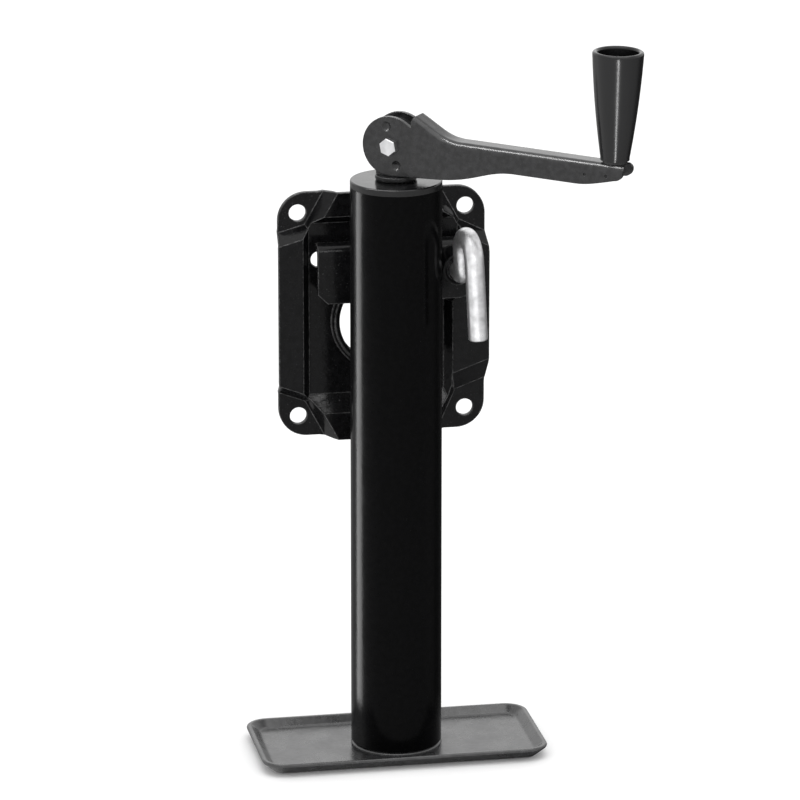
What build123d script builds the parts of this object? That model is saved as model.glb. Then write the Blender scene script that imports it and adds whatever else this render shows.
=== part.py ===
"""Swivel-mount trailer tongue jack: outer tube, telescoping ram, fold-over crank and pull-pin swivel.

Millimetres, +Z up.  The origin is on the ground under the foot plate, on the axis of the tubes.
The mounting plate stands behind the tubes, on the +Y side, and the hook of the pin is in front.
At rest the ram is fully retracted, the crank is unfolded and the pull pin is drawn out of the plate.
"""
import os
from math import cos, radians, sin, tan
from build123d import *

# ---------------------------------------------------------------- driving dimensions
# foot, ram and outer tube
FOOT_LENGTH = 186.2  # before the rim's edge is rounded, which leaves 182
FOOT_DEPTH = 92.2  # likewise, which leaves 88
FOOT_SHEET = 4.0
FOOT_RIM_TOP = 8.5
FOOT_FLARE = 50.0
FOOT_CORNER_R = 6.0
FOOT_BEND_R = 4.0
FOOT_EDGE_R = 1.2
RAM_R = 25.3
RAM_BORE_R = 22.3
RAM_TOP = 322.0
TUBE_R = 28.5
TUBE_BORE_R = 25.7
TUBE_BOTTOM = 6.3
TUBE_TOP = 366.7
CAP_TOP = 370.7
CAP_PLUG = 7.0
CAP_BORE_R = 10.0
CAP_EDGE_R = 1.0
TRAVEL = 254.0

# guide rivet, which stops the ram from turning
RIVET_Z = 24.0
RIVET_R = 2.5
RIVET_HEAD_R = 4.5
RIVET_HEAD = 2.2
GROOVE_WIDTH = 7.0
GROOVE_DEPTH = 1.6

# screw, nut and thrust bearing
SCREW_R = 9.5
SCREW_ROOT_R = 7.6
SCREW_BOTTOM = 40.0
THREAD_PITCH = 5.0
SHANK_R = 8.0
STUB_R = 4.0
STUB_TOP = 384.0
NUT_HEIGHT = 26.0
SHAFT_FIT = 0.05
RACE_R = 22.0
RACE_SHEET = 2.6
BALL_R = 2.95
BALL_GAP = 0.05
BALL_COUNT = 12
BALL_CIRCLE_R = 16.0
COLLAR_R = 20.0
COLLAR_HEIGHT = 9.0

# crank arm, a channel that is open underneath; its side view is laid out from the fold pivot
CRANK_ANGLE = -37.2
CRANK_DROOP = 1.2
PIVOT_Z = 393.3
EAR_R = 18.7
CHANNEL_WIDTH = 17.0
CHANNEL_SHEET = 2.5
WEB_TOP = 7.9
WEB_END = 152.0
ARM_END = 156.0
EAR_FLAT_ANGLE = 64.0
NOTCH = (13.8, 13.4)
LIP_TIP = (15.5, 20.4)
LIP_FOOT = (29.0, 12.7)
BEND_END = 46.0
BEND_R = 4.5
BEND_INNER_R = 0.9
DIMPLE_SPOTS = [(-2.7, 12.3), (4.5, -11.7)]
PIT_SPOTS = [(131.0, 0.1), (145.2, 0.7)]
M6_R = 3.0
M6_FLATS = 10.0
BOLT_TURN = 42.0
M6_HEAD = 4.0
M6_NUT = 6.0

# drive hub on the top of the screw
HUB_R = 15.5
HUB_HALF = 5.7
HUB_NECK_HALF = 11.0
HUB_FLANGE_R = 13.0
HUB_FLANGE_BOTTOM = 371.1
HUB_FLANGE_TOP = 374.2
HUB_PIN_R = 1.5
HUB_PIN_Z = 380.0

# grip and the shoulder bolt that it turns on
GRIP_OFFSET = 147.1
GRIP_BASE = 9.6
GRIP_LENGTH = 66.8
GRIP_BASE_R = 8.9
GRIP_MIDDLE_R = 13.1
GRIP_TOP_R = 15.6
GRIP_MOUTH_R = 12.3
GRIP_FLOOR = 15.0
GRIP_FLOOR_R = 7.4
SHOULDER_R = 4.0
GRIP_NUT = 5.0
MOVING_GAP = 0.3

# mounting plate, measured from its centre
PLATE_Z = 273.0
PLATE_FRONT = 50.0
PLATE_SHEET = 3.5
PLATE_HALF_WIDTH = 65.8
PLATE_HALF_HEIGHT = 79.0
PLATE_CORNER_R = 18.0
BAND_RAISE = 10.5
BAND_BULGE = 1.2
BAND_SLOPE = 30.0
PAN_RAISE = 4.0
PAN_LEFT = -51.5
PAN_RIGHT = 52.0
PAN_LOW_RIGHT = 43.5
PAN_STEP = 10.0
PAN_BOTTOM = -62.5
PAN_TOP = 65.0
PAN_SIDE_RUN = 4.5
PAN_TOP_RUN = 5.0
PAN_BOTTOM_RUN = 11.5
BOLT_SPACING_X = 106.6
BOLT_SPACING_Z = 132.0
BOLT_HOLE_R = 5.5

# swivel
SWIVEL_Z = 269.0
SWIVEL_R = 31.05
SWIVEL_BORE_R = 27.9
SWIVEL_FIT = 0.1
SWIVEL_FRONT = 43.5
SWIVEL_BACK = 53.0
SWIVEL_COLLAR_R = 33.6
SWIVEL_COLLAR = 1.7
RETAINER_R = 37.0
RETAINER = 2.8
RING_EDGE_R = 0.8
BRACKET_SHEET = 4.0
BRACKET_LEFT = -44.0
BRACKET_RIGHT = 54.0
BRACKET_BOTTOM = 285.0
BRACKET_TOP = 322.2
BRACKET_BACK = 39.0
BRACKET_BEND_R = 6.5
STRIP_HALF = 18.0
STRIP_BOTTOM = 240.0
CHANNEL_REACH = 26.0
LOCK_OFFSET = 40.5
LOCK_HOLE_R = 5.3

# pull pin, drawn out by its travel
ROD_R = 6.0
NOSE_R = 5.0
NOSE_TIP = 44.5
HOOK_START = -2.5
HOOK_BEND_R = 8.0
HOOK_RISE = 15.5
HOOK_TURN_R = 12.7
HOOK_DROP = 49.4
HOOK_TURN_ANGLE = 84.5
HOOK_LEAN = 3.0
HOUSING_R = 10.0
HOUSING_BORE_R = 8.5
HOUSING_FRONT = 5.0
HOUSING_WALL = 1.5
HOUSING_MOUTH = 0.8
CLIP_R = 8.2
CLIP_FRONT = 18.8
CLIP_SHEET = 1.5
SPRING_R = 7.25
SPRING_WIRE_R = 0.75
SPRING_TURNS = 5

# ---------------------------------------------------------------- derived places
plate_back = PLATE_FRONT + PLATE_SHEET
pan_front = PLATE_FRONT - PAN_RAISE
pan_back = pan_front + PLATE_SHEET
pin_z = SWIVEL_Z + LOCK_OFFSET
bracket_back = TUBE_R + BRACKET_SHEET
cap_bottom = TUBE_TOP - CAP_PLUG
upper_race_bottom = cap_bottom - RACE_SHEET
ball_z = upper_race_bottom - BALL_GAP - BALL_R
lower_race_top = ball_z - BALL_R - BALL_GAP
collar_top = lower_race_top - RACE_SHEET
collar_bottom = collar_top - COLLAR_HEIGHT
channel_half = CHANNEL_WIDTH / 2
channel_inner = channel_half - CHANNEL_SHEET
web_under = WEB_TOP - CHANNEL_SHEET

# ---------------------------------------------------------------- planes
wall_plane = Plane(origin=(0, plate_back, 0), x_dir=(1, 0, 0), z_dir=(0, -1, 0))
crank_turn = radians(CRANK_ANGLE)
crank_tilt = radians(CRANK_DROOP)
fold_axis = Vector(sin(crank_turn), -cos(crank_turn), 0)
arm_out = Vector(cos(crank_turn) * cos(crank_tilt), sin(crank_turn) * cos(crank_tilt), -sin(crank_tilt))
arm_up = fold_axis.cross(arm_out)
pivot = Vector(0, 0, PIVOT_Z)
stud_point = pivot + arm_out * GRIP_OFFSET
crank_plane = Plane(origin=pivot, x_dir=arm_out, z_dir=fold_axis)
hub_plane = Plane(origin=pivot, x_dir=(cos(crank_turn), sin(crank_turn), 0), z_dir=fold_axis)
grip_side = Plane(origin=stud_point, x_dir=arm_out, z_dir=fold_axis)
stud_plane = Plane(origin=stud_point, x_dir=arm_out, z_dir=arm_up)

os.makedirs("parts", exist_ok=True)


def save(piece, name):
    """Label one finished piece and write its file."""
    piece.label = name
    export_step(piece, f"parts/{name}.step")


def facing(y):
    """A plane at depth y that looks towards the viewer, with its x to the right and its y up."""
    return wall_plane.offset(plate_back - y)


def ring(bottom_plane, outer, inner, height):
    """A plain ring standing on a plane."""
    with BuildPart() as piece:
        with BuildSketch(bottom_plane):
            Circle(outer)
            Circle(inner, mode=Mode.SUBTRACT)
        extrude(amount=height)
    return piece.part


# ---------------------------------------------------------------- foot and ram
def foot_block(lift):
    """The flared outside of the foot, raised by lift."""
    spread = 2 * FOOT_RIM_TOP * tan(radians(FOOT_FLARE))
    with BuildPart() as block:
        with BuildSketch(Plane.XY.offset(lift)):
            RectangleRounded(FOOT_LENGTH - spread, FOOT_DEPTH - spread, FOOT_CORNER_R)
        extrude(amount=FOOT_RIM_TOP, taper=-FOOT_FLARE)
        fillet(block.edges().group_by(Axis.Z)[0], FOOT_BEND_R)
    return block.part


with BuildPart() as foot_plate:
    add(foot_block(0))
    add(foot_block(FOOT_SHEET), mode=Mode.SUBTRACT)
    fillet(foot_plate.edges().group_by(Axis.Z)[-1], FOOT_EDGE_R)
save(foot_plate.part, "foot_plate")

with BuildPart() as ram_tube:
    add(ring(Plane.XY.offset(FOOT_SHEET), RAM_R, RAM_BORE_R, RAM_TOP - FOOT_SHEET))
    with BuildSketch(Plane.XY.offset(RIVET_Z - 8)):
        with Locations((0, RAM_R)):
            Rectangle(GROOVE_WIDTH, 2 * GROOVE_DEPTH)
    extrude(amount=TRAVEL + 16, mode=Mode.SUBTRACT)
save(ram_tube.part, "ram_tube")

with BuildPart() as foot_weld:
    with BuildSketch(Plane.XZ):
        with BuildLine():
            Line((RAM_R, FOOT_SHEET + 1.8), (RAM_R, FOOT_SHEET))
            Line((RAM_R, FOOT_SHEET), (RAM_R + 3.4, FOOT_SHEET))
            ThreePointArc(
                (RAM_R + 3.4, FOOT_SHEET),
                (RAM_R + 2.1, FOOT_SHEET + 1.3),
                (RAM_R, FOOT_SHEET + 1.8),
            )
        make_face()
    revolve(axis=Axis.Z)
save(foot_weld.part, "foot_weld")

with BuildPart() as lift_nut:
    add(ring(Plane.XY.offset(RAM_TOP - NUT_HEIGHT), RAM_BORE_R, SCREW_R + SHAFT_FIT, NUT_HEIGHT))
    chamfer(lift_nut.edges().group_by(Axis.Z)[-1], 0.8)
save(lift_nut.part, "lift_nut")

# ---------------------------------------------------------------- outer tube, guide rivet and cap
with BuildPart() as outer_tube:
    add(ring(Plane.XY.offset(TUBE_BOTTOM), TUBE_R, TUBE_BORE_R, TUBE_TOP - TUBE_BOTTOM))
    with Locations(Plane(origin=(0, TUBE_R, RIVET_Z), z_dir=(0, 1, 0))):
        Cylinder(RIVET_R, 12, mode=Mode.SUBTRACT)
save(outer_tube.part, "outer_tube")

with BuildPart() as guide_rivet:
    with BuildSketch(Plane(origin=(0, RAM_R - GROOVE_DEPTH + MOVING_GAP, RIVET_Z), z_dir=(0, 1, 0))):
        Circle(RIVET_R)
    extrude(amount=TUBE_R - RAM_R + GROOVE_DEPTH - MOVING_GAP)
    with BuildSketch(Plane(origin=(0, TUBE_R, RIVET_Z), z_dir=(0, 1, 0))):
        Circle(RIVET_HEAD_R)
    extrude(amount=RIVET_HEAD)
    fillet(guide_rivet.edges().group_by(Axis.Y)[-1], 0.8 * RIVET_HEAD)
save(guide_rivet.part, "guide_rivet")

with BuildPart() as top_cap:
    add(ring(Plane.XY.offset(cap_bottom), TUBE_BORE_R, CAP_BORE_R, CAP_PLUG))
    add(ring(Plane.XY.offset(TUBE_TOP), TUBE_R, CAP_BORE_R, CAP_TOP - TUBE_TOP))
    fillet(top_cap.edges().group_by(Axis.Z)[-1].sort_by(SortBy.RADIUS)[-1], CAP_EDGE_R)
save(top_cap.part, "top_cap")

cap_bushing = ring(Plane.XY.offset(cap_bottom), CAP_BORE_R, SHANK_R + SHAFT_FIT, CAP_TOP - cap_bottom)
save(cap_bushing, "cap_bushing")

# ---------------------------------------------------------------- lift screw and thrust bearing
with BuildPart() as lift_screw:
    with BuildSketch(Plane.XZ):
        with BuildLine():
            Polyline(
                (0, SCREW_BOTTOM),
                (SCREW_ROOT_R, SCREW_BOTTOM),
                (SCREW_R, SCREW_BOTTOM + 2),
                (SCREW_R, collar_top),
                (SHANK_R, collar_top),
                (SHANK_R, HUB_FLANGE_BOTTOM),
                (STUB_R, HUB_FLANGE_BOTTOM),
                (STUB_R, STUB_TOP),
                (0, STUB_TOP),
                close=True,
            )
        make_face()
    revolve(axis=Axis.Z)
    with BuildSketch(Plane.XZ):
        thread_turns = int((collar_bottom - SCREW_BOTTOM - 16) / THREAD_PITCH)
        for turn in range(thread_turns):
            z = SCREW_BOTTOM + (turn + 1) * THREAD_PITCH
            with BuildLine():
                Polyline(
                    (SCREW_R + 1, z - 1.5),
                    (SCREW_ROOT_R, z - 0.9),
                    (SCREW_ROOT_R, z + 0.9),
                    (SCREW_R + 1, z + 1.5),
                    close=True,
                )
            make_face()
    revolve(axis=Axis.Z, mode=Mode.SUBTRACT)
    with Locations(Plane(origin=(0, 0, HUB_PIN_Z), z_dir=fold_axis)):
        Cylinder(HUB_PIN_R, 4 * STUB_R, mode=Mode.SUBTRACT)
save(lift_screw.part, "lift_screw")

with BuildPart() as thrust_collar:
    add(ring(Plane.XY.offset(collar_bottom), COLLAR_R, SCREW_R, COLLAR_HEIGHT))
    chamfer(thrust_collar.edges().group_by(Axis.Z)[0].sort_by(SortBy.RADIUS)[-1], 1.0)
save(thrust_collar.part, "thrust_collar")

lower_race = ring(Plane.XY.offset(collar_top), RACE_R, SHANK_R, RACE_SHEET)
save(lower_race, "lower_race")

upper_race = ring(Plane.XY.offset(upper_race_bottom), RACE_R, SHANK_R + 1, RACE_SHEET)
save(upper_race, "upper_race")

with BuildPart() as bearing_balls:
    with Locations(Plane.XY.offset(ball_z)):
        with PolarLocations(BALL_CIRCLE_R, BALL_COUNT):
            Sphere(BALL_R)
save(bearing_balls.part, "bearing_balls")

with BuildPart() as ball_cage:
    with BuildSketch(Plane.XY.offset(ball_z - 0.8)):
        Circle(BALL_CIRCLE_R + 4)
        Circle(BALL_CIRCLE_R - 4, mode=Mode.SUBTRACT)
        with PolarLocations(BALL_CIRCLE_R, BALL_COUNT):
            Circle(BALL_R + 0.1, mode=Mode.SUBTRACT)
    extrude(amount=1.6)
save(ball_cage.part, "ball_cage")

# ---------------------------------------------------------------- drive hub
with BuildPart() as drive_hub:
    with BuildSketch(hub_plane.offset(-HUB_HALF)):
        Circle(HUB_R)
        with Locations((0, (HUB_FLANGE_TOP - PIVOT_Z) / 2)):
            Rectangle(2 * HUB_NECK_HALF, PIVOT_Z - HUB_FLANGE_TOP)
        Circle(M6_R + SHAFT_FIT, mode=Mode.SUBTRACT)
    extrude(amount=2 * HUB_HALF)
    with BuildSketch(Plane.XY.offset(HUB_FLANGE_BOTTOM)):
        Circle(HUB_FLANGE_R)
    extrude(amount=HUB_FLANGE_TOP - HUB_FLANGE_BOTTOM)
    fillet(drive_hub.edges().filter_by(GeomType.CIRCLE).group_by(Axis.Z)[0], 1.2)
    with BuildSketch(Plane.XY.offset(HUB_FLANGE_BOTTOM)):
        Circle(STUB_R)
    extrude(amount=STUB_TOP - HUB_FLANGE_BOTTOM, mode=Mode.SUBTRACT)
    with Locations(Plane(origin=(0, 0, HUB_PIN_Z), z_dir=fold_axis)):
        Cylinder(HUB_PIN_R, 3 * HUB_HALF, mode=Mode.SUBTRACT)
save(drive_hub.part, "drive_hub")

with BuildPart() as hub_pin:
    with Locations(Plane(origin=(0, 0, HUB_PIN_Z), z_dir=fold_axis)):
        Cylinder(HUB_PIN_R, 2 * HUB_HALF)
save(hub_pin.part, "hub_pin")

# ---------------------------------------------------------------- crank arm
lip_slope = (Vector(*LIP_FOOT) - Vector(*LIP_TIP)).normalized()
sheet_in = Vector(lip_slope.Y, -lip_slope.X) * CHANNEL_SHEET
inner_tip = Vector(*LIP_TIP) + sheet_in
inner_foot = Vector(*LIP_FOOT) + sheet_in
ear_flat = Vector(EAR_R * cos(radians(EAR_FLAT_ANGLE)), EAR_R * sin(radians(EAR_FLAT_ANGLE)))


def top_edges(part, half, height):
    """The long edges on both sides of a channel's top, from its lip to its end."""
    return part.edges().filter_by(
        lambda edge: abs(abs(crank_plane.to_local_coords(edge.center()).Z) - half) < 0.01
        and crank_plane.to_local_coords(edge.center()).X > inner_tip.X + 1
        and crank_plane.to_local_coords(edge.center()).Y > height - 0.01
    )


with BuildPart() as channel_space:
    with BuildSketch(crank_plane.offset(-channel_inner)):
        with BuildLine():
            Polyline((170, web_under), (170, -30), (-30, -30), (-30, 30), (inner_tip.X, 30))
            Polyline((inner_tip.X, 30), inner_tip, inner_foot)
            Spline(inner_foot, (BEND_END, web_under), tangents=(lip_slope, (1, 0)))
            Line((BEND_END, web_under), (170, web_under))
        make_face()
    extrude(amount=2 * channel_inner)
    fillet(top_edges(channel_space, channel_inner, web_under), BEND_INNER_R)

with BuildPart() as crank_arm:
    with BuildSketch(crank_plane.offset(-channel_half)):
        with BuildLine():
            CenterArc((0, 0), EAR_R, EAR_FLAT_ANGLE, 270 - EAR_FLAT_ANGLE)
            Line((0, -EAR_R), (34, -16.5))
            Spline((34, -16.5), (58, -11.9), (84, -6.4), tangents=((1, 0.065), (1, 0)))
            Line((84, -6.4), (125, -6.4))
            Spline((125, -6.4), (140, -4.3), (151, -1.5), tangents=((1, 0), (1, 0.27)))
            ThreePointArc((151, -1.5), (ARM_END, 3.4), (153.5, WEB_TOP))
            Line((153.5, WEB_TOP), (BEND_END, WEB_TOP))
            Spline((BEND_END, WEB_TOP), LIP_FOOT, tangents=((-1, 0), -lip_slope))
            Polyline(LIP_FOOT, LIP_TIP, inner_tip, NOTCH, ear_flat)
        make_face()
        Circle(M6_R, mode=Mode.SUBTRACT)
    extrude(amount=CHANNEL_WIDTH)
    fillet(top_edges(crank_arm, channel_half, WEB_TOP), BEND_R)
    add(channel_space.part, mode=Mode.SUBTRACT)
    with BuildSketch(crank_plane.offset(-channel_inner)):
        with Locations((WEB_END + 10, 5)):
            Rectangle(20, 20)
    extrude(amount=2 * channel_inner, mode=Mode.SUBTRACT)
    with BuildSketch(stud_plane):
        Circle(M6_R)
    extrude(amount=30, both=True, mode=Mode.SUBTRACT)
    for side in (1, -1):
        for spot in DIMPLE_SPOTS:
            with Locations(crank_plane * Pos(spot[0], spot[1], side * (channel_half + 2.5))):
                Sphere(4.0, mode=Mode.SUBTRACT)
    for spot in PIT_SPOTS:
        with Locations(crank_plane * Pos(spot[0], spot[1], channel_half)):
            Sphere(1.0, mode=Mode.SUBTRACT)
save(crank_arm.part, "crank_arm")

with BuildPart() as fold_bolt:
    with BuildSketch(crank_plane.offset(channel_half)):
        RegularPolygon(M6_FLATS / 2, 6, major_radius=False, rotation=BOLT_TURN)
    extrude(amount=M6_HEAD)
    chamfer(fold_bolt.edges().group_by(Axis(pivot, fold_axis))[-1], 0.5)
    with BuildSketch(crank_plane.offset(-channel_half - M6_NUT - 1)):
        Circle(M6_R)
    extrude(amount=CHANNEL_WIDTH + M6_NUT + 1)
save(fold_bolt.part, "fold_bolt")

with BuildPart() as fold_nut:
    with BuildSketch(crank_plane.offset(-channel_half - M6_NUT)):
        RegularPolygon(M6_FLATS / 2, 6, major_radius=False)
        Circle(M6_R, mode=Mode.SUBTRACT)
    extrude(amount=M6_NUT)
save(fold_nut.part, "fold_nut")

# ---------------------------------------------------------------- grip
with BuildPart() as grip:
    with BuildSketch(grip_side):
        top = GRIP_BASE + GRIP_LENGTH
        floor = GRIP_BASE + GRIP_FLOOR
        with BuildLine():
            Polyline((SHOULDER_R + SHAFT_FIT, floor), (SHOULDER_R + SHAFT_FIT, GRIP_BASE))
            Line((SHOULDER_R + SHAFT_FIT, GRIP_BASE), (GRIP_BASE_R, GRIP_BASE))
            Line((GRIP_BASE_R, GRIP_BASE), (GRIP_BASE_R, GRIP_BASE + 1.5))
            ThreePointArc(
                (GRIP_BASE_R, GRIP_BASE + 1.5),
                (GRIP_MIDDLE_R, GRIP_BASE + GRIP_LENGTH / 2),
                (GRIP_TOP_R, top - 1.6),
            )
            rim_middle = (GRIP_TOP_R + GRIP_MOUTH_R) / 2
            ThreePointArc((GRIP_TOP_R, top - 1.6), (rim_middle, top), (GRIP_MOUTH_R, top - 1.6))
            Line((GRIP_MOUTH_R, top - 1.6), (GRIP_FLOOR_R, floor))
            Line((GRIP_FLOOR_R, floor), (SHOULDER_R + SHAFT_FIT, floor))
        make_face()
    revolve(axis=Axis(stud_point, arm_up))
save(grip.part, "grip")

with BuildPart() as grip_bolt:
    with BuildSketch(stud_plane.offset(web_under - GRIP_NUT - 1.5)):
        Circle(M6_R)
    extrude(amount=GRIP_NUT + 1.5 + CHANNEL_SHEET)
    with BuildSketch(stud_plane.offset(WEB_TOP)):
        Circle(SHOULDER_R)
    extrude(amount=GRIP_BASE + GRIP_FLOOR + MOVING_GAP - WEB_TOP)
    with BuildSketch(stud_plane.offset(GRIP_BASE + GRIP_FLOOR + MOVING_GAP)):
        Circle(6.5)
        RegularPolygon(2.5, 6, mode=Mode.SUBTRACT)
    extrude(amount=5)
    with BuildSketch(stud_plane.offset(GRIP_BASE + GRIP_FLOOR + MOVING_GAP)):
        Circle(SHOULDER_R)
    extrude(amount=2)
save(grip_bolt.part, "grip_bolt")

grip_washer = ring(stud_plane.offset(WEB_TOP), 7.5, SHOULDER_R, GRIP_BASE - WEB_TOP - MOVING_GAP)
save(grip_washer, "grip_washer")

with BuildPart() as grip_nut:
    with BuildSketch(stud_plane.offset(web_under - GRIP_NUT)):
        RegularPolygon(M6_FLATS / 2, 6, major_radius=False)
        Circle(M6_R, mode=Mode.SUBTRACT)
    extrude(amount=GRIP_NUT)
save(grip_nut.part, "grip_nut")


# ---------------------------------------------------------------- mounting plate
def plate_outline():
    """Rounded rectangle whose four middles bulge a little beyond its corners."""
    with BuildSketch() as outline:
        RectangleRounded(2 * PLATE_HALF_WIDTH, 2 * PLATE_HALF_HEIGHT, PLATE_CORNER_R)
        side = PLATE_HALF_WIDTH + BAND_BULGE
        end = PLATE_HALF_HEIGHT + BAND_BULGE
        with BuildLine():
            Polyline((-side, -42), (-PLATE_HALF_WIDTH, -52), (PLATE_HALF_WIDTH, -50), (side, -35))
            Polyline((side, -35), (side, 38), (PLATE_HALF_WIDTH, 50), (-PLATE_HALF_WIDTH, 56), (-side, 46))
            Line((-side, 46), (-side, -42))
        make_face()
        with BuildLine():
            Polyline((-32, -end), (32, -end), (40, -PLATE_HALF_HEIGHT), (40, PLATE_HALF_HEIGHT), (32, end))
            Polyline((32, end), (-32, end), (-40, PLATE_HALF_HEIGHT), (-40, -PLATE_HALF_HEIGHT), (-32, -end))
        make_face()
    return outline.sketch


def pan_outline(depth):
    """Outline of the centre pan, at the level of the bands for depth 0 and on its floor for depth 1."""
    left = PAN_LEFT + depth * PAN_SIDE_RUN
    right = PAN_RIGHT - depth * PAN_SIDE_RUN
    low_right = PAN_LOW_RIGHT - depth * PAN_SIDE_RUN
    top = PAN_TOP - depth * PAN_TOP_RUN
    bottom = PAN_BOTTOM + depth * PAN_BOTTOM_RUN
    with BuildSketch() as outline:
        with BuildLine():
            Polyline(
                (left, bottom), (low_right, bottom), (low_right, PAN_STEP - 3), (right, PAN_STEP + 5),
                (right, top), (left, top),
                close=True,
            )
        make_face()
    return outline.sketch


def plate_block(lift):
    """Everything behind the pressed front surface of the plate, moved forward by lift."""
    base = Plane(facing(plate_back) * Pos(0, PLATE_Z, lift))
    with BuildPart() as block:
        with BuildSketch(base.offset(-20)):
            Rectangle(200, 220)
        extrude(amount=20 + PLATE_SHEET)
        with BuildSketch(base.offset(PLATE_SHEET)):
            with BuildLine():
                Polyline(
                    (-90, 47), (-49, 58.5), (-31, 90), (31, 90), (49, 57.5), (90, 37),
                    (90, -38), (47, -53.5), (31, -90), (-31, -90), (-49, -56.5), (-90, -41),
                    close=True,
                )
            make_face()
        extrude(amount=BAND_RAISE, taper=BAND_SLOPE)
        # the corner next to the low bolt hole under the hook comes down in a wider ramp
        with BuildSketch(base.offset(PLATE_SHEET + BAND_RAISE)):
            with BuildLine():
                Polyline((100, -19.8), (43.3, -40.3), (43.3, -95), (100, -95), close=True)
            make_face()
        with BuildSketch(base.offset(PLATE_SHEET)):
            with BuildLine():
                Polyline((100, -37.1), (46.4, -53.8), (46.4, -95), (100, -95), close=True)
            make_face()
        loft(ruled=True, mode=Mode.SUBTRACT)
        with BuildSketch(base.offset(PLATE_SHEET + BAND_RAISE)):
            add(pan_outline(0))
        with BuildSketch(base.offset(PLATE_SHEET + PAN_RAISE)):
            add(pan_outline(1))
        loft(ruled=True, mode=Mode.SUBTRACT)
    return block.part


with BuildPart() as mounting_plate:
    add(plate_block(0))
    add(plate_block(-PLATE_SHEET), mode=Mode.SUBTRACT)
    with BuildSketch(facing(plate_back + 1)):
        with Locations((0, PLATE_Z)):
            add(plate_outline())
    extrude(amount=40, mode=Mode.INTERSECT)
    with BuildSketch(facing(plate_back + 1)):
        with Locations((0, PLATE_Z)):
            with GridLocations(BOLT_SPACING_X, BOLT_SPACING_Z, 2, 2):
                Circle(BOLT_HOLE_R)
        with Locations((0, SWIVEL_Z)):
            Circle(SWIVEL_R + SWIVEL_FIT)
        with Locations((LOCK_OFFSET, pin_z), (-LOCK_OFFSET, pin_z)):
            Circle(LOCK_HOLE_R)
    extrude(amount=40, mode=Mode.SUBTRACT)
save(mounting_plate.part, "mounting_plate")


# ---------------------------------------------------------------- swivel
def swivel_ring(back, outer, inner, length):
    """A ring about the swivel axis, from depth back towards the viewer."""
    with BuildPart() as piece:
        with BuildSketch(facing(back)):
            with Locations((0, SWIVEL_Z)):
                Circle(outer)
                Circle(inner, mode=Mode.SUBTRACT)
        extrude(amount=length)
        fillet(piece.edges().group_by(Axis.Y)[0].sort_by(SortBy.LENGTH)[-1], RING_EDGE_R)
    return piece.part


swivel_tube = swivel_ring(SWIVEL_BACK, SWIVEL_R, SWIVEL_BORE_R, SWIVEL_BACK - SWIVEL_FRONT)
save(swivel_tube, "swivel_tube")

swivel_collar = swivel_ring(pan_front - MOVING_GAP, SWIVEL_COLLAR_R, SWIVEL_R, SWIVEL_COLLAR)
save(swivel_collar, "swivel_collar")

swivel_retainer = swivel_ring(pan_back + MOVING_GAP + RETAINER, RETAINER_R, SWIVEL_R, RETAINER)
save(swivel_retainer, "swivel_retainer")

with BuildPart() as swivel_channel:
    with BuildSketch(Plane.XY.offset(SWIVEL_Z - CHANNEL_REACH)):
        with Locations((0, (bracket_back + SWIVEL_FRONT) / 2)):
            Rectangle(2 * STRIP_HALF, SWIVEL_FRONT - bracket_back)
        with Locations((0, (bracket_back + SWIVEL_FRONT) / 2 + BRACKET_SHEET)):
            Rectangle(2 * (STRIP_HALF - BRACKET_SHEET), SWIVEL_FRONT - bracket_back, mode=Mode.SUBTRACT)
    extrude(amount=2 * CHANNEL_REACH)
    fillet(swivel_channel.edges().filter_by(Axis.Z).group_by(Axis.Y)[0], 3.0)
save(swivel_channel.part, "swivel_channel")

with BuildPart() as swivel_bracket:
    with BuildSketch(Plane.YZ.offset(BRACKET_LEFT)):
        with BuildLine():
            front_edge = FilletPolyline(
                (TUBE_R, BRACKET_BOTTOM),
                (TUBE_R, BRACKET_TOP),
                (BRACKET_BACK, BRACKET_TOP),
                radius=BRACKET_BEND_R,
            )
            Line((BRACKET_BACK, BRACKET_TOP), (BRACKET_BACK, BRACKET_TOP - BRACKET_SHEET))
            back_edge = FilletPolyline(
                (BRACKET_BACK, BRACKET_TOP - BRACKET_SHEET),
                (bracket_back, BRACKET_TOP - BRACKET_SHEET),
                (bracket_back, BRACKET_BOTTOM),
                radius=BRACKET_BEND_R - BRACKET_SHEET,
            )
            Line((bracket_back, BRACKET_BOTTOM), (TUBE_R, BRACKET_BOTTOM))
        make_face()
    extrude(amount=BRACKET_RIGHT - BRACKET_LEFT)
    lower_corners = swivel_bracket.edges().filter_by(Axis.Y).group_by(Axis.Z)[0]
    chamfer(lower_corners.sort_by(Axis.X)[0], 6.0)
    fillet(lower_corners.sort_by(Axis.X)[-1], 9.0)
    with BuildSketch(facing(bracket_back)):
        with Locations((0, (STRIP_BOTTOM + BRACKET_BOTTOM) / 2)):
            Rectangle(2 * STRIP_HALF, BRACKET_BOTTOM - STRIP_BOTTOM)
    extrude(amount=BRACKET_SHEET)
    with BuildSketch(facing(bracket_back + 1)):
        with Locations((LOCK_OFFSET, pin_z)):
            Circle(NOSE_R + SHAFT_FIT)
    extrude(amount=BRACKET_SHEET + 2, mode=Mode.SUBTRACT)
save(swivel_bracket.part, "swivel_bracket")

with BuildPart() as bracket_welds:
    with BuildSketch(Plane.XY.offset(STRIP_BOTTOM + 3)):
        for side in (1, -1):
            with BuildLine():
                Polyline(
                    (side * 4, TUBE_R - 4),
                    (side * 4, TUBE_R),
                    (side * 15.5, TUBE_R),
                    (side * 13.5, TUBE_R - 4),
                    close=True,
                )
            make_face()
        Circle(TUBE_R, mode=Mode.SUBTRACT)
    extrude(amount=BRACKET_TOP - BRACKET_BEND_R - STRIP_BOTTOM - 6)
save(bracket_welds.part, "bracket_welds")

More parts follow.
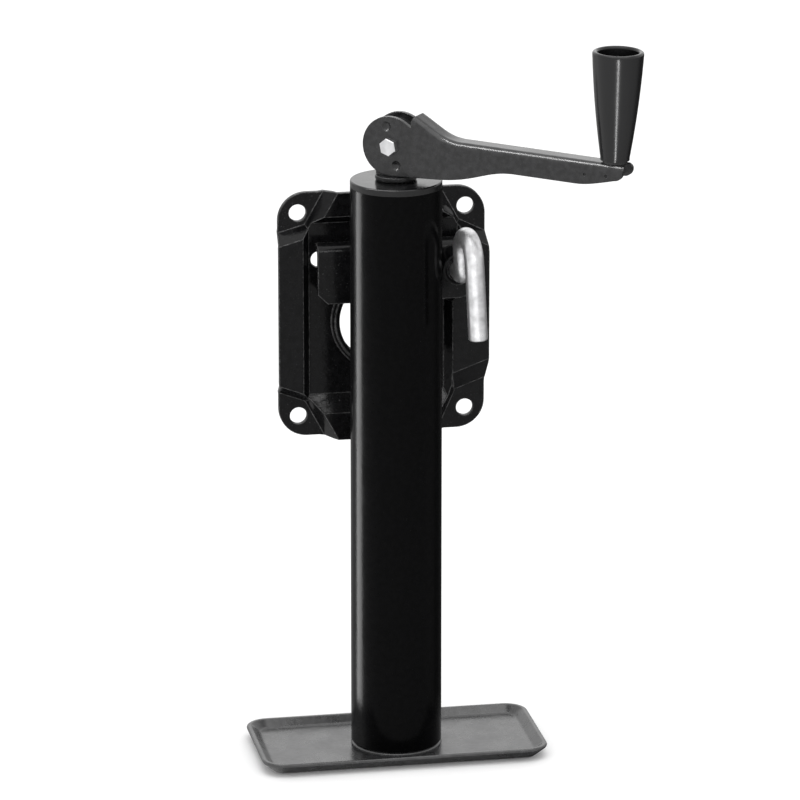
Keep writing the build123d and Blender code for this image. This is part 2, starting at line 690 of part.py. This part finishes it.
# ---------------------------------------------------------------- pull pin
with BuildPart() as pin_housing:
    with BuildSketch(facing(TUBE_R)):
        with Locations((LOCK_OFFSET, pin_z)):
            Circle(HOUSING_R)
            Circle(HOUSING_BORE_R, mode=Mode.SUBTRACT)
    extrude(amount=TUBE_R - HOUSING_FRONT)
    with BuildSketch(facing(HOUSING_FRONT + HOUSING_WALL)):
        with Locations((LOCK_OFFSET, pin_z)):
            Circle(HOUSING_R)
            Circle(ROD_R + SHAFT_FIT, mode=Mode.SUBTRACT)
    extrude(amount=HOUSING_WALL)
    fillet(pin_housing.edges().group_by(Axis.Y)[0].sort_by(SortBy.RADIUS)[-1], 1.0)
    chamfer(pin_housing.edges().group_by(Axis.Y)[0].sort_by(SortBy.RADIUS)[0], HOUSING_MOUTH)
save(pin_housing.part, "pin_housing")

lean = radians(HOOK_LEAN)
hook_right = Vector(cos(lean), 0, sin(lean))
hook_up = Vector(-sin(lean), 0, cos(lean))
hook_turn = radians(HOOK_TURN_ANGLE)
turn_out = hook_right * cos(hook_turn) + Vector(0, -1, 0) * sin(hook_turn)
pin_axis_point = Vector(LOCK_OFFSET, 0, pin_z)
bend_start = pin_axis_point + Vector(0, HOOK_START, 0)
bend_end = bend_start + Vector(0, -HOOK_BEND_R, 0) + hook_up * HOOK_BEND_R
turn_start = bend_start + Vector(0, -HOOK_BEND_R, 0) + hook_up * HOOK_RISE
turn_end = turn_start + turn_out * 2 * HOOK_TURN_R
shoulder_y = CLIP_FRONT + CLIP_SHEET

with BuildPart() as pull_pin:
    with BuildSketch(facing(shoulder_y)):
        with Locations((LOCK_OFFSET, pin_z)):
            Circle(ROD_R)
    extrude(amount=shoulder_y - HOOK_START)
    with BuildSketch(Plane(origin=bend_start, z_dir=(0, -1, 0))):
        Circle(ROD_R)
    revolve(axis=Axis(bend_start + hook_up * HOOK_BEND_R, -hook_right), revolution_arc=90)
    with BuildSketch(Plane(origin=bend_end, z_dir=hook_up)):
        Circle(ROD_R)
    extrude(amount=HOOK_RISE - HOOK_BEND_R)
    with BuildSketch(Plane(origin=turn_start, z_dir=hook_up)):
        Circle(ROD_R)
    revolve(axis=Axis(turn_start + turn_out * HOOK_TURN_R, hook_up.cross(turn_out)), revolution_arc=180)
    with BuildSketch(Plane(origin=turn_end, z_dir=-hook_up)):
        Circle(ROD_R)
    extrude(amount=HOOK_DROP)
    fillet(pull_pin.edges().filter_by(GeomType.CIRCLE).sort_by(Axis.Z)[0], 1.2)
    with BuildSketch(facing(NOSE_TIP)):
        with Locations((LOCK_OFFSET, pin_z)):
            Circle(NOSE_R)
    extrude(amount=NOSE_TIP - shoulder_y)
    chamfer(pull_pin.edges().sort_by(Axis.Y)[-1], 1.5)
save(pull_pin.part, "pull_pin")

with BuildPart() as pin_clip:
    with BuildSketch(facing(shoulder_y)):
        with Locations((LOCK_OFFSET, pin_z)):
            Circle(CLIP_R)
            Circle(ROD_R, mode=Mode.SUBTRACT)
    extrude(amount=CLIP_SHEET)
save(pin_clip.part, "pin_clip")

spring_start = HOUSING_FRONT + HOUSING_WALL + SPRING_WIRE_R + 0.05
spring_length = CLIP_FRONT - SPRING_WIRE_R - 0.05 - spring_start
with BuildPart() as pin_spring:
    with BuildLine():
        coil = Helix(
            spring_length / SPRING_TURNS,
            spring_length,
            SPRING_R,
            center=(LOCK_OFFSET, spring_start, pin_z),
            direction=(0, 1, 0),
        )
    with BuildSketch(Plane(origin=coil @ 0, z_dir=coil % 0)):
        Circle(SPRING_WIRE_R)
    sweep()
save(pin_spring.part, "pin_spring")
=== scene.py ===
"""Looks of the swivel-mount trailer tongue jack: materials, a studio floor, lights and a camera.

Metres, in the frame of the CAD part: +Z up, the mounting plate on the +Y side, the camera on the -Y side.
Azimuths are degrees from the -Y side towards +X, elevations are degrees above the horizon, and the
camera's lens is in millimetres.
"""
from math import cos, pi, radians, sin

import bpy
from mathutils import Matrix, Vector


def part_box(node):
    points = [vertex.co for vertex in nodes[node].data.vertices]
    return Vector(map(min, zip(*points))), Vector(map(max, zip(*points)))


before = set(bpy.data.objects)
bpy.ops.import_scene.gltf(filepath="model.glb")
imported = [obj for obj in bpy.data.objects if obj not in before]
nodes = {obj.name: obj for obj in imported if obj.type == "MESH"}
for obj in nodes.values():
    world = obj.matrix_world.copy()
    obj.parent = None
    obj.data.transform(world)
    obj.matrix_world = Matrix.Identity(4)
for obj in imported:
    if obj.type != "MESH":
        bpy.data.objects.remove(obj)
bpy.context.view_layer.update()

# ---------------------------------------------------------------- driving values
MM = 0.001

CAMERA_AZIMUTH = -10.53
CAMERA_ELEVATION = 16.63
CAMERA_DISTANCE = 3.3237
CAMERA_AIM = Vector((0.00236, -0.00044, 0.22912))
CAMERA_LENS = 240.4
CAMERA_REACH = 60

JACK_MIDDLE = (0, 0, 0.22)
CRANK_MIDDLE = (0.06, 0, 0.38)

FLOOR_HALF = 9
FLOOR_DROP = 0.2 * MM

# a noise's values gather round 0.5, so these are the ranges that its patches and its rare specks fill
SOFT_PATCHES = (0.3, 0.7)
FIRM_PATCHES = (0.35, 0.65)
DUST_SPECKS = (0.68, 0.80)
PIT_SPECKS = (0.66, 0.76)

# how grey the dust of an enamel gets, and how strong the painted highlight along its edges is
DUST_GREYNESS = 0.35
EDGE_HIGHLIGHT_STRENGTH = 0.8

# the numbers of a Mix node's colour sockets: inputs A and B, and the output
MIX_A, MIX_B, MIX_RESULT = 6, 7, 2

# ---------------------------------------------------------------- material helpers


class Nodes:
    """A thin wrapper that adds shader nodes to one material and links them."""

    def __init__(self, name):
        self.material = bpy.data.materials.new(name)
        self.material.use_nodes = True
        self.tree = self.material.node_tree
        self.shader = self.tree.nodes["Principled BSDF"]
        self.place = self.add("ShaderNodeTexCoord").outputs["Object"]

    def add(self, kind, **settings):
        node = self.tree.nodes.new(kind)
        for key, value in settings.items():
            setattr(node, key, value)
        return node

    def link(self, out, into):
        self.tree.links.new(out, into)

    def stretched(self, scale):
        """Object coordinates multiplied by a scale for each axis."""
        mapping = self.add("ShaderNodeMapping")
        mapping.inputs["Scale"].default_value = scale
        self.link(self.place, mapping.inputs["Vector"])
        return mapping.outputs["Vector"]

    def noise(self, size, detail=3.0, place=None):
        """Noise whose lumps are about size metres across, from 0 to 1."""
        node = self.add("ShaderNodeTexNoise")
        node.inputs["Scale"].default_value = 1.0 / size
        node.inputs["Detail"].default_value = detail
        self.link(place or self.place, node.inputs["Vector"])
        return node.outputs["Fac"]

    def remap(self, value, source, target=(0.0, 1.0)):
        """A value that runs over source, stretched to run over target and held inside it."""
        node = self.add("ShaderNodeMapRange", clamp=True)
        for key, number in zip(("From Min", "From Max", "To Min", "To Max"), source + target):
            node.inputs[key].default_value = number
        self.link(value, node.inputs["Value"])
        return node.outputs["Result"]

    def math(self, operation, a, b):
        node = self.add("ShaderNodeMath", operation=operation)
        for socket, value in zip(node.inputs, (a, b)):
            if isinstance(value, (int, float)):
                socket.default_value = value
            else:
                self.link(value, socket)
        return node.outputs["Value"]

    def mix(self, factor, colour_a, colour_b):
        node = self.add("ShaderNodeMix", data_type="RGBA")
        self.link(factor, node.inputs["Factor"])
        for socket, colour in ((node.inputs[MIX_A], colour_a), (node.inputs[MIX_B], colour_b)):
            if isinstance(colour, tuple):
                socket.default_value = (*colour, 1.0)
            else:
                self.link(colour, socket)
        return node.outputs[MIX_RESULT]

    def rounded(self, radius, samples):
        """The surface's normal, turned within radius of an edge as if the edge were rounded."""
        bevel = self.add("ShaderNodeBevel", samples=samples)
        bevel.inputs["Radius"].default_value = radius
        return bevel.outputs["Normal"]

    def edges(self, radius, full=0.25):
        """0 on flat ground, rising to 1 near an edge, where 1 minus the cosine of the turn is full."""
        ground = self.add("ShaderNodeNewGeometry")
        dot = self.add("ShaderNodeVectorMath", operation="DOT_PRODUCT")
        self.link(self.rounded(radius, samples=4), dot.inputs[0])
        self.link(ground.outputs["Normal"], dot.inputs[1])
        return self.remap(self.math("SUBTRACT", 1.0, dot.outputs["Value"]), (0.0, full))

    def bumps(self, radius, *layers):
        """Normal with rounded edges and layers of (height, depth in metres)."""
        normal = self.rounded(radius, samples=6)
        for height, depth in layers:
            bump = self.add("ShaderNodeBump")
            bump.inputs["Distance"].default_value = depth
            self.link(height, bump.inputs["Height"])
            self.link(normal, bump.inputs["Normal"])
            normal = bump.outputs["Normal"]
        self.link(normal, self.shader.inputs["Normal"])

    def set(self, **values):
        """Inputs of the Principled shader by name, with _ for a space."""
        for key, value in values.items():
            socket = self.shader.inputs[key.replace("_", " ")]
            if isinstance(value, tuple):
                socket.default_value = (*value, 1.0)
            elif isinstance(value, (int, float)):
                socket.default_value = value
            else:
                self.link(value, socket)


def scaled(colour, factor):
    return tuple(factor * channel for channel in colour)


def enamel(name, dark, dust_and_highlight, gloss, specular, edge_radius, peel=1.0, mottle=1.6, highlight_turn=0.25):
    """Gloss black enamel with orange peel, mottling, faint dust and a painted highlight along its edges.

    dark is a colour, and dust_and_highlight the colour of the dust and of the painted edge highlight, which
    stands in for reflections along the edges and creases; gloss is the range of roughness, and peel scales
    the depth of the orange peel. The patches of the mottling are mottle times as light. highlight_turn is
    how soon an edge shows the painted highlight.
    """
    m = Nodes(name)
    clouds = m.noise(18 * MM, detail=4.0)
    dust = m.remap(m.noise(0.9 * MM, detail=2.0), DUST_SPECKS)
    # painted highlight: a greyer colour along the edges and creases that stands in for the reflections
    # there, broken up in patches; the dust specks on the line above are the enamel's own
    highlight_breaks = m.remap(m.noise(3 * MM), FIRM_PATCHES, (0.2, 1.0))
    edge_highlight = m.math("MULTIPLY", m.edges(0.6 * edge_radius, highlight_turn), highlight_breaks)
    dusty = m.math("MULTIPLY", dust, DUST_GREYNESS)
    dust_and_edge_highlight = m.math("MAXIMUM", dusty, m.math("MULTIPLY", edge_highlight, EDGE_HIGHLIGHT_STRENGTH))
    patches = m.remap(m.noise(3.5 * MM), FIRM_PATCHES)
    m.set(
        Base_Color=m.mix(dust_and_edge_highlight, m.mix(patches, dark, scaled(dark, mottle)), dust_and_highlight),
        Roughness=m.remap(clouds, SOFT_PATCHES, gloss),
        Specular_IOR_Level=specular,
    )
    fine_peel = (m.noise(1.4 * MM, detail=2.0), 0.02 * peel * MM)
    broad_peel = (m.noise(7 * MM, detail=1.0), 0.06 * peel * MM)
    m.bumps(edge_radius, fine_peel, broad_peel)
    return m.material


def zinc(name, tint, roughness, metallic=1.0, tarnish=0.8):
    """Plated or drawn bright metal: fine scratches along Z, small pits, dents and cloudy, darker tarnish."""
    m = Nodes(name)
    clouds = m.noise(6 * MM, detail=4.0)
    scratches = m.noise(0.5 * MM, place=m.stretched((1.0, 1.0, 0.08)))
    pits = m.remap(m.noise(0.8 * MM, detail=1.0), PIT_SPECKS)
    dents = m.noise(4 * MM, detail=2.0)
    cloudy = m.remap(clouds, SOFT_PATCHES, roughness)
    m.set(
        Base_Color=m.mix(m.remap(clouds, SOFT_PATCHES), tint, scaled(tint, tarnish)),
        Metallic=metallic,
        Roughness=m.math("ADD", cloudy, m.math("MULTIPLY", scratches, 0.12)),
    )
    m.bumps(0.3 * MM, (scratches, 0.012 * MM), (pits, -0.03 * MM), (dents, 0.12 * MM))
    return m.material


def turned_metal(name, tint, rough):
    """Bare machined metal with turning marks across Z and an oily, cloudy layer."""
    m = Nodes(name)
    marks = m.noise(0.6 * MM, detail=2.0, place=m.stretched((0.05, 0.05, 1.0)))
    oil = m.noise(9 * MM, detail=4.0)
    cloudy = m.remap(oil, SOFT_PATCHES, (rough, rough + 0.15))
    m.set(
        Base_Color=m.mix(oil, tint, scaled(tint, 0.6)),
        Metallic=1.0,
        Roughness=m.math("ADD", cloudy, m.math("MULTIPLY", marks, 0.1)),
    )
    m.bumps(0.25 * MM, (marks, 0.015 * MM))
    return m.material


def moulded_plastic(name, dark, light, worn):
    """Moulded plastic with a soft sheen, a fine texture, faint flow marks and worn edges."""
    m = Nodes(name)
    flow = m.noise(14 * MM, place=m.stretched((1.0, 1.0, 0.35)))
    grain = m.noise(0.35 * MM, detail=2.0)
    m.set(
        Base_Color=m.mix(m.edges(0.5 * MM), m.mix(flow, dark, light), worn),
        Roughness=m.remap(flow, SOFT_PATCHES, (0.16, 0.24)),
        Specular_IOR_Level=0.4,
    )
    m.bumps(0.5 * MM, (grain, 0.008 * MM), (flow, 0.05 * MM))
    return m.material


# ---------------------------------------------------------------- materials of the carried-over CAD nodes
tube_enamel = enamel(
    "tube_enamel",
    dark=(0.0012, 0.0012, 0.0013),
    dust_and_highlight=(0.02, 0.02, 0.02),
    gloss=(0.17, 0.22),
    specular=0.045,
    edge_radius=0.5 * MM,
)
# the plate's painted edge highlight is the lightest of the enamels and shows soonest on its creases
plate_enamel = enamel(
    "plate_enamel",
    dark=(0.0026, 0.0026, 0.0028),
    dust_and_highlight=(0.16, 0.16, 0.16),
    gloss=(0.10, 0.16),
    specular=0.14,
    edge_radius=1.6 * MM,
    peel=1.6,
    mottle=1.8,
    highlight_turn=0.07,
)
arm_enamel = enamel(
    "arm_enamel",
    dark=(0.0060, 0.0060, 0.0063),
    dust_and_highlight=(0.08, 0.08, 0.08),
    gloss=(0.16, 0.26),
    specular=0.5,
    edge_radius=0.8 * MM,
    peel=2.5,
    mottle=2.8,
)
cap_enamel = enamel(
    "cap_enamel",
    dark=(0.0030, 0.0030, 0.0032),
    dust_and_highlight=(0.06, 0.06, 0.06),
    gloss=(0.14, 0.22),
    specular=0.4,
    edge_radius=0.4 * MM,
)
foot_enamel = enamel(
    "foot_enamel",
    dark=(0.0120, 0.0120, 0.0125),
    dust_and_highlight=(0.10, 0.10, 0.10),
    gloss=(0.22, 0.34),
    specular=0.9,
    edge_radius=1.0 * MM,
    peel=2.5,
    mottle=2.5,
)
grip_plastic = moulded_plastic(
    "grip_plastic",
    dark=(0.003, 0.003, 0.0033),
    light=(0.006, 0.006, 0.0065),
    worn=(0.03, 0.03, 0.03),
)
rod_zinc = zinc("rod_zinc", (0.78, 0.78, 0.79), roughness=(0.22, 0.40), metallic=0.88, tarnish=0.62)
bolt_zinc = zinc("bolt_zinc", (0.82, 0.82, 0.83), roughness=(0.22, 0.36))
spring_steel = zinc("spring_steel", (0.30, 0.30, 0.32), roughness=(0.24, 0.38))
plain_steel = turned_metal("plain_steel", (0.42, 0.42, 0.43), rough=0.28)
bearing_steel = turned_metal("bearing_steel", (0.66, 0.66, 0.68), rough=0.10)
bearing_bronze = turned_metal("bearing_bronze", (0.62, 0.42, 0.20), rough=0.26)

LOOKS = {
    tube_enamel: ["outer_tube"],
    plate_enamel: [
        "mounting_plate",
        "swivel_tube",
        "swivel_collar",
        "swivel_retainer",
        "swivel_bracket",
        "swivel_channel",
        "bracket_welds",
        "pin_housing",
    ],
    arm_enamel: ["crank_arm", "drive_hub", "grip_washer"],
    cap_enamel: ["top_cap"],
    foot_enamel: ["foot_plate", "foot_weld"],
    grip_plastic: ["grip"],
    rod_zinc: ["pull_pin"],
    bolt_zinc: ["fold_bolt", "fold_nut", "grip_bolt", "grip_nut", "guide_rivet"],
    spring_steel: ["pin_clip", "pin_spring", "hub_pin"],
    plain_steel: ["ram_tube", "lift_nut", "lift_screw", "thrust_collar"],
    bearing_steel: ["lower_race", "upper_race", "bearing_balls"],
    bearing_bronze: ["cap_bushing", "ball_cage"],
}
for material, names in LOOKS.items():
    for name in names:
        nodes[name].data.materials.clear()
        nodes[name].data.materials.append(material)


# ---------------------------------------------------------------- lights
def direction(azimuth, elevation):
    """Unit vector from the object towards a place seen at azimuth and elevation."""
    turn, rise = radians(azimuth), radians(elevation)
    return Vector((sin(turn) * cos(rise), -cos(turn) * cos(rise), sin(rise)))


def place_facing(thing, aim, towards, distance):
    """Put a lamp or camera at a distance from aim, looking back at it, and add it to the scene."""
    thing.location = aim + towards * distance
    thing.rotation_mode = "QUATERNION"
    thing.rotation_quaternion = (-towards).to_track_quat("-Z", "Y")
    bpy.context.scene.collection.objects.link(thing)


def soft_light(name, azimuth, elevation, distance, size, radiance, aim=JACK_MIDDLE, only=()):
    """A rectangle of even light; with only, it lights just those pieces and nothing else blocks it."""
    width, height = size
    light = bpy.data.lights.new(name, "AREA")
    light.shape = "RECTANGLE"
    light.size = width
    light.size_y = height
    light.energy = radiance * pi * width * height
    lamp = bpy.data.objects.new(name, light)
    lamp.visible_camera = False
    place_facing(lamp, Vector(aim), direction(azimuth, elevation), distance)
    if only:
        lit = bpy.data.collections.new(name + "_lit")
        for piece in only:
            lit.objects.link(nodes[piece])
        lamp.light_linking.receiver_collection = lit
        lamp.light_linking.blocker_collection = lit


def middle(name):
    low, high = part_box(name)
    return (low + high) / 2


# what the lights of the plate and of the crank reach
PLATE_GROUP = ("mounting_plate", "swivel_tube", "swivel_collar", "swivel_bracket")
CRANK_GROUP = ("crank_arm", "drive_hub", "top_cap")

soft_light("backdrop_glow", azimuth=169.5, elevation=24, distance=3.0, size=(1.8, 1.0), radiance=0.5)
soft_light("top_softbox", azimuth=0, elevation=80, distance=2.4, size=(2.4, 2.4), radiance=1.2)
soft_light(
    "tube_strip",
    azimuth=-118,
    elevation=-10,
    distance=1.6,
    size=(0.56, 2.2),
    radiance=15.0,
    only=("outer_tube",),
)
soft_light(
    "plate_left_strip",
    azimuth=-72,
    elevation=-12,
    distance=1.6,
    size=(0.35, 2.2),
    radiance=2.0,
    only=PLATE_GROUP,
)
soft_light(
    "plate_right_strip",
    azimuth=66,
    elevation=-12,
    distance=1.6,
    size=(0.30, 2.2),
    radiance=2.0,
    only=PLATE_GROUP,
)
soft_light(
    "plate_top_strip",
    azimuth=-20,
    elevation=50,
    distance=2.0,
    size=(2.4, 0.22),
    radiance=9.0,
    only=PLATE_GROUP,
)
soft_light(
    "crank_edge_strip",
    azimuth=-93,
    elevation=59,
    distance=2.0,
    size=(0.24, 2.4),
    radiance=24.0,
    aim=CRANK_MIDDLE,
    only=CRANK_GROUP,
)
soft_light(
    "grip_strip",
    azimuth=-10.5,
    elevation=-28,
    distance=1.2,
    size=(0.10, 0.8),
    radiance=22.0,
    aim=middle("grip"),
    only=("grip",),
)
soft_light(
    "pin_fill",
    azimuth=-20,
    elevation=0,
    distance=1.6,
    size=(1.6, 2.0),
    radiance=0.8,
    only=("pull_pin",),
)

# ---------------------------------------------------------------- floor
floor_corners = [
    (-FLOOR_HALF, -FLOOR_HALF, 0),
    (FLOOR_HALF, -FLOOR_HALF, 0),
    (FLOOR_HALF, FLOOR_HALF, 0),
    (-FLOOR_HALF, FLOOR_HALF, 0),
]
floor_mesh = bpy.data.meshes.new("floor")
floor_mesh.from_pydata(floor_corners, [], [(0, 1, 2, 3)])
floor = bpy.data.objects.new("floor", floor_mesh)
floor.location.z = -FLOOR_DROP
floor.visible_glossy = False
bpy.context.scene.collection.objects.link(floor)
paper = Nodes("floor_paper")
paper.set(
    Base_Color=paper.mix(paper.noise(0.4, detail=2.0), (0.93, 0.93, 0.93), (0.97, 0.97, 0.97)),
    Roughness=1.0,
    Specular_IOR_Level=0.0,
)
floor_mesh.materials.append(paper.material)

# ---------------------------------------------------------------- room
# stops of (azimuth, level) for the room's own light, which is nearly even above the horizon, and below it
# is dark behind on the right
ROOM_LOW = (
    (-180, 0.4),
    (-145, 0.5),
    (-120, 1.0),
    (-20, 1.0),
    (40, 0.8),
    (80, 0.5),
    (110, 0.06),
    (160, 0.06),
    (180, 0.4),
)
ROOM_HIGH = ((-180, 1.1), (-60, 1.0), (60, 1.0), (180, 1.1))
# a ramp holds its levels divided by this, and the room's Background node multiplies by it again
ROOM_SCALE = 4.0
# heights of a ray, as its Z, between which the lower ramp gives way to the upper one
HORIZON_LOW, HORIZON_HIGH = -0.05, 0.10

world = bpy.data.worlds.new("studio")
world.use_nodes = True
bpy.context.scene.world = world
sky = world.node_tree
sky.nodes.clear()


def room_node(kind, *values, **settings):
    """A node of the world whose first inputs take numbers or other nodes' outputs."""
    node = sky.nodes.new(kind)
    for key, setting in settings.items():
        setattr(node, key, setting)
    for socket, value in zip(node.inputs, values):
        if isinstance(value, bpy.types.NodeSocket):
            sky.links.new(value, socket)
        else:
            socket.default_value = value
    return node


def along_ramp(azimuth):
    """Where an azimuth lies on a ramp that runs from -180 to 180 degrees."""
    return azimuth / 360 + 0.5


def room_ramp(turn, stops):
    node = room_node("ShaderNodeValToRGB", turn)
    ramp = node.color_ramp
    for azimuth, _ in stops[1:-1]:
        ramp.elements.new(along_ramp(azimuth))
    for element, (azimuth, level) in zip(ramp.elements, stops):
        element.position = along_ramp(azimuth)
        element.color = (level / ROOM_SCALE, level / ROOM_SCALE, level / ROOM_SCALE, 1)
    return node.outputs["Color"]


rays = room_node("ShaderNodeLightPath")
towards_sky = room_node("ShaderNodeSeparateXYZ", room_node("ShaderNodeTexCoord").outputs["Generated"])
forward = room_node("ShaderNodeMath", towards_sky.outputs["Y"], -1.0, operation="MULTIPLY").outputs[0]
angle = room_node("ShaderNodeMath", towards_sky.outputs["X"], forward, operation="ARCTAN2").outputs[0]
turn = room_node("ShaderNodeMath", angle, 1 / (2 * pi), 0.5, operation="MULTIPLY_ADD").outputs[0]
height = towards_sky.outputs["Z"]
rise = room_node("ShaderNodeMapRange", height, HORIZON_LOW, HORIZON_HIGH, 0.0, 1.0).outputs[0]
room_mix = room_node("ShaderNodeMix", data_type="RGBA")
sky.links.new(rise, room_mix.inputs["Factor"])
sky.links.new(room_ramp(turn, ROOM_LOW), room_mix.inputs[MIX_A])
sky.links.new(room_ramp(turn, ROOM_HIGH), room_mix.inputs[MIX_B])
room = room_node("ShaderNodeBackground", room_mix.outputs[MIX_RESULT], ROOM_SCALE)
white = room_node("ShaderNodeBackground", (1, 1, 1, 1), 1.0)
both = room_node("ShaderNodeMixShader", rays.outputs["Is Camera Ray"], room.outputs[0], white.outputs[0])
room_node("ShaderNodeOutputWorld", both.outputs[0])

# ---------------------------------------------------------------- camera
bpy.context.scene.view_settings.view_transform = "Standard"

camera = bpy.data.objects.new("camera", bpy.data.cameras.new("camera"))
camera.data.lens = CAMERA_LENS
camera.data.clip_end = CAMERA_REACH
place_facing(camera, CAMERA_AIM, direction(CAMERA_AZIMUTH, CAMERA_ELEVATION), CAMERA_DISTANCE)
bpy.context.scene.camera = camera
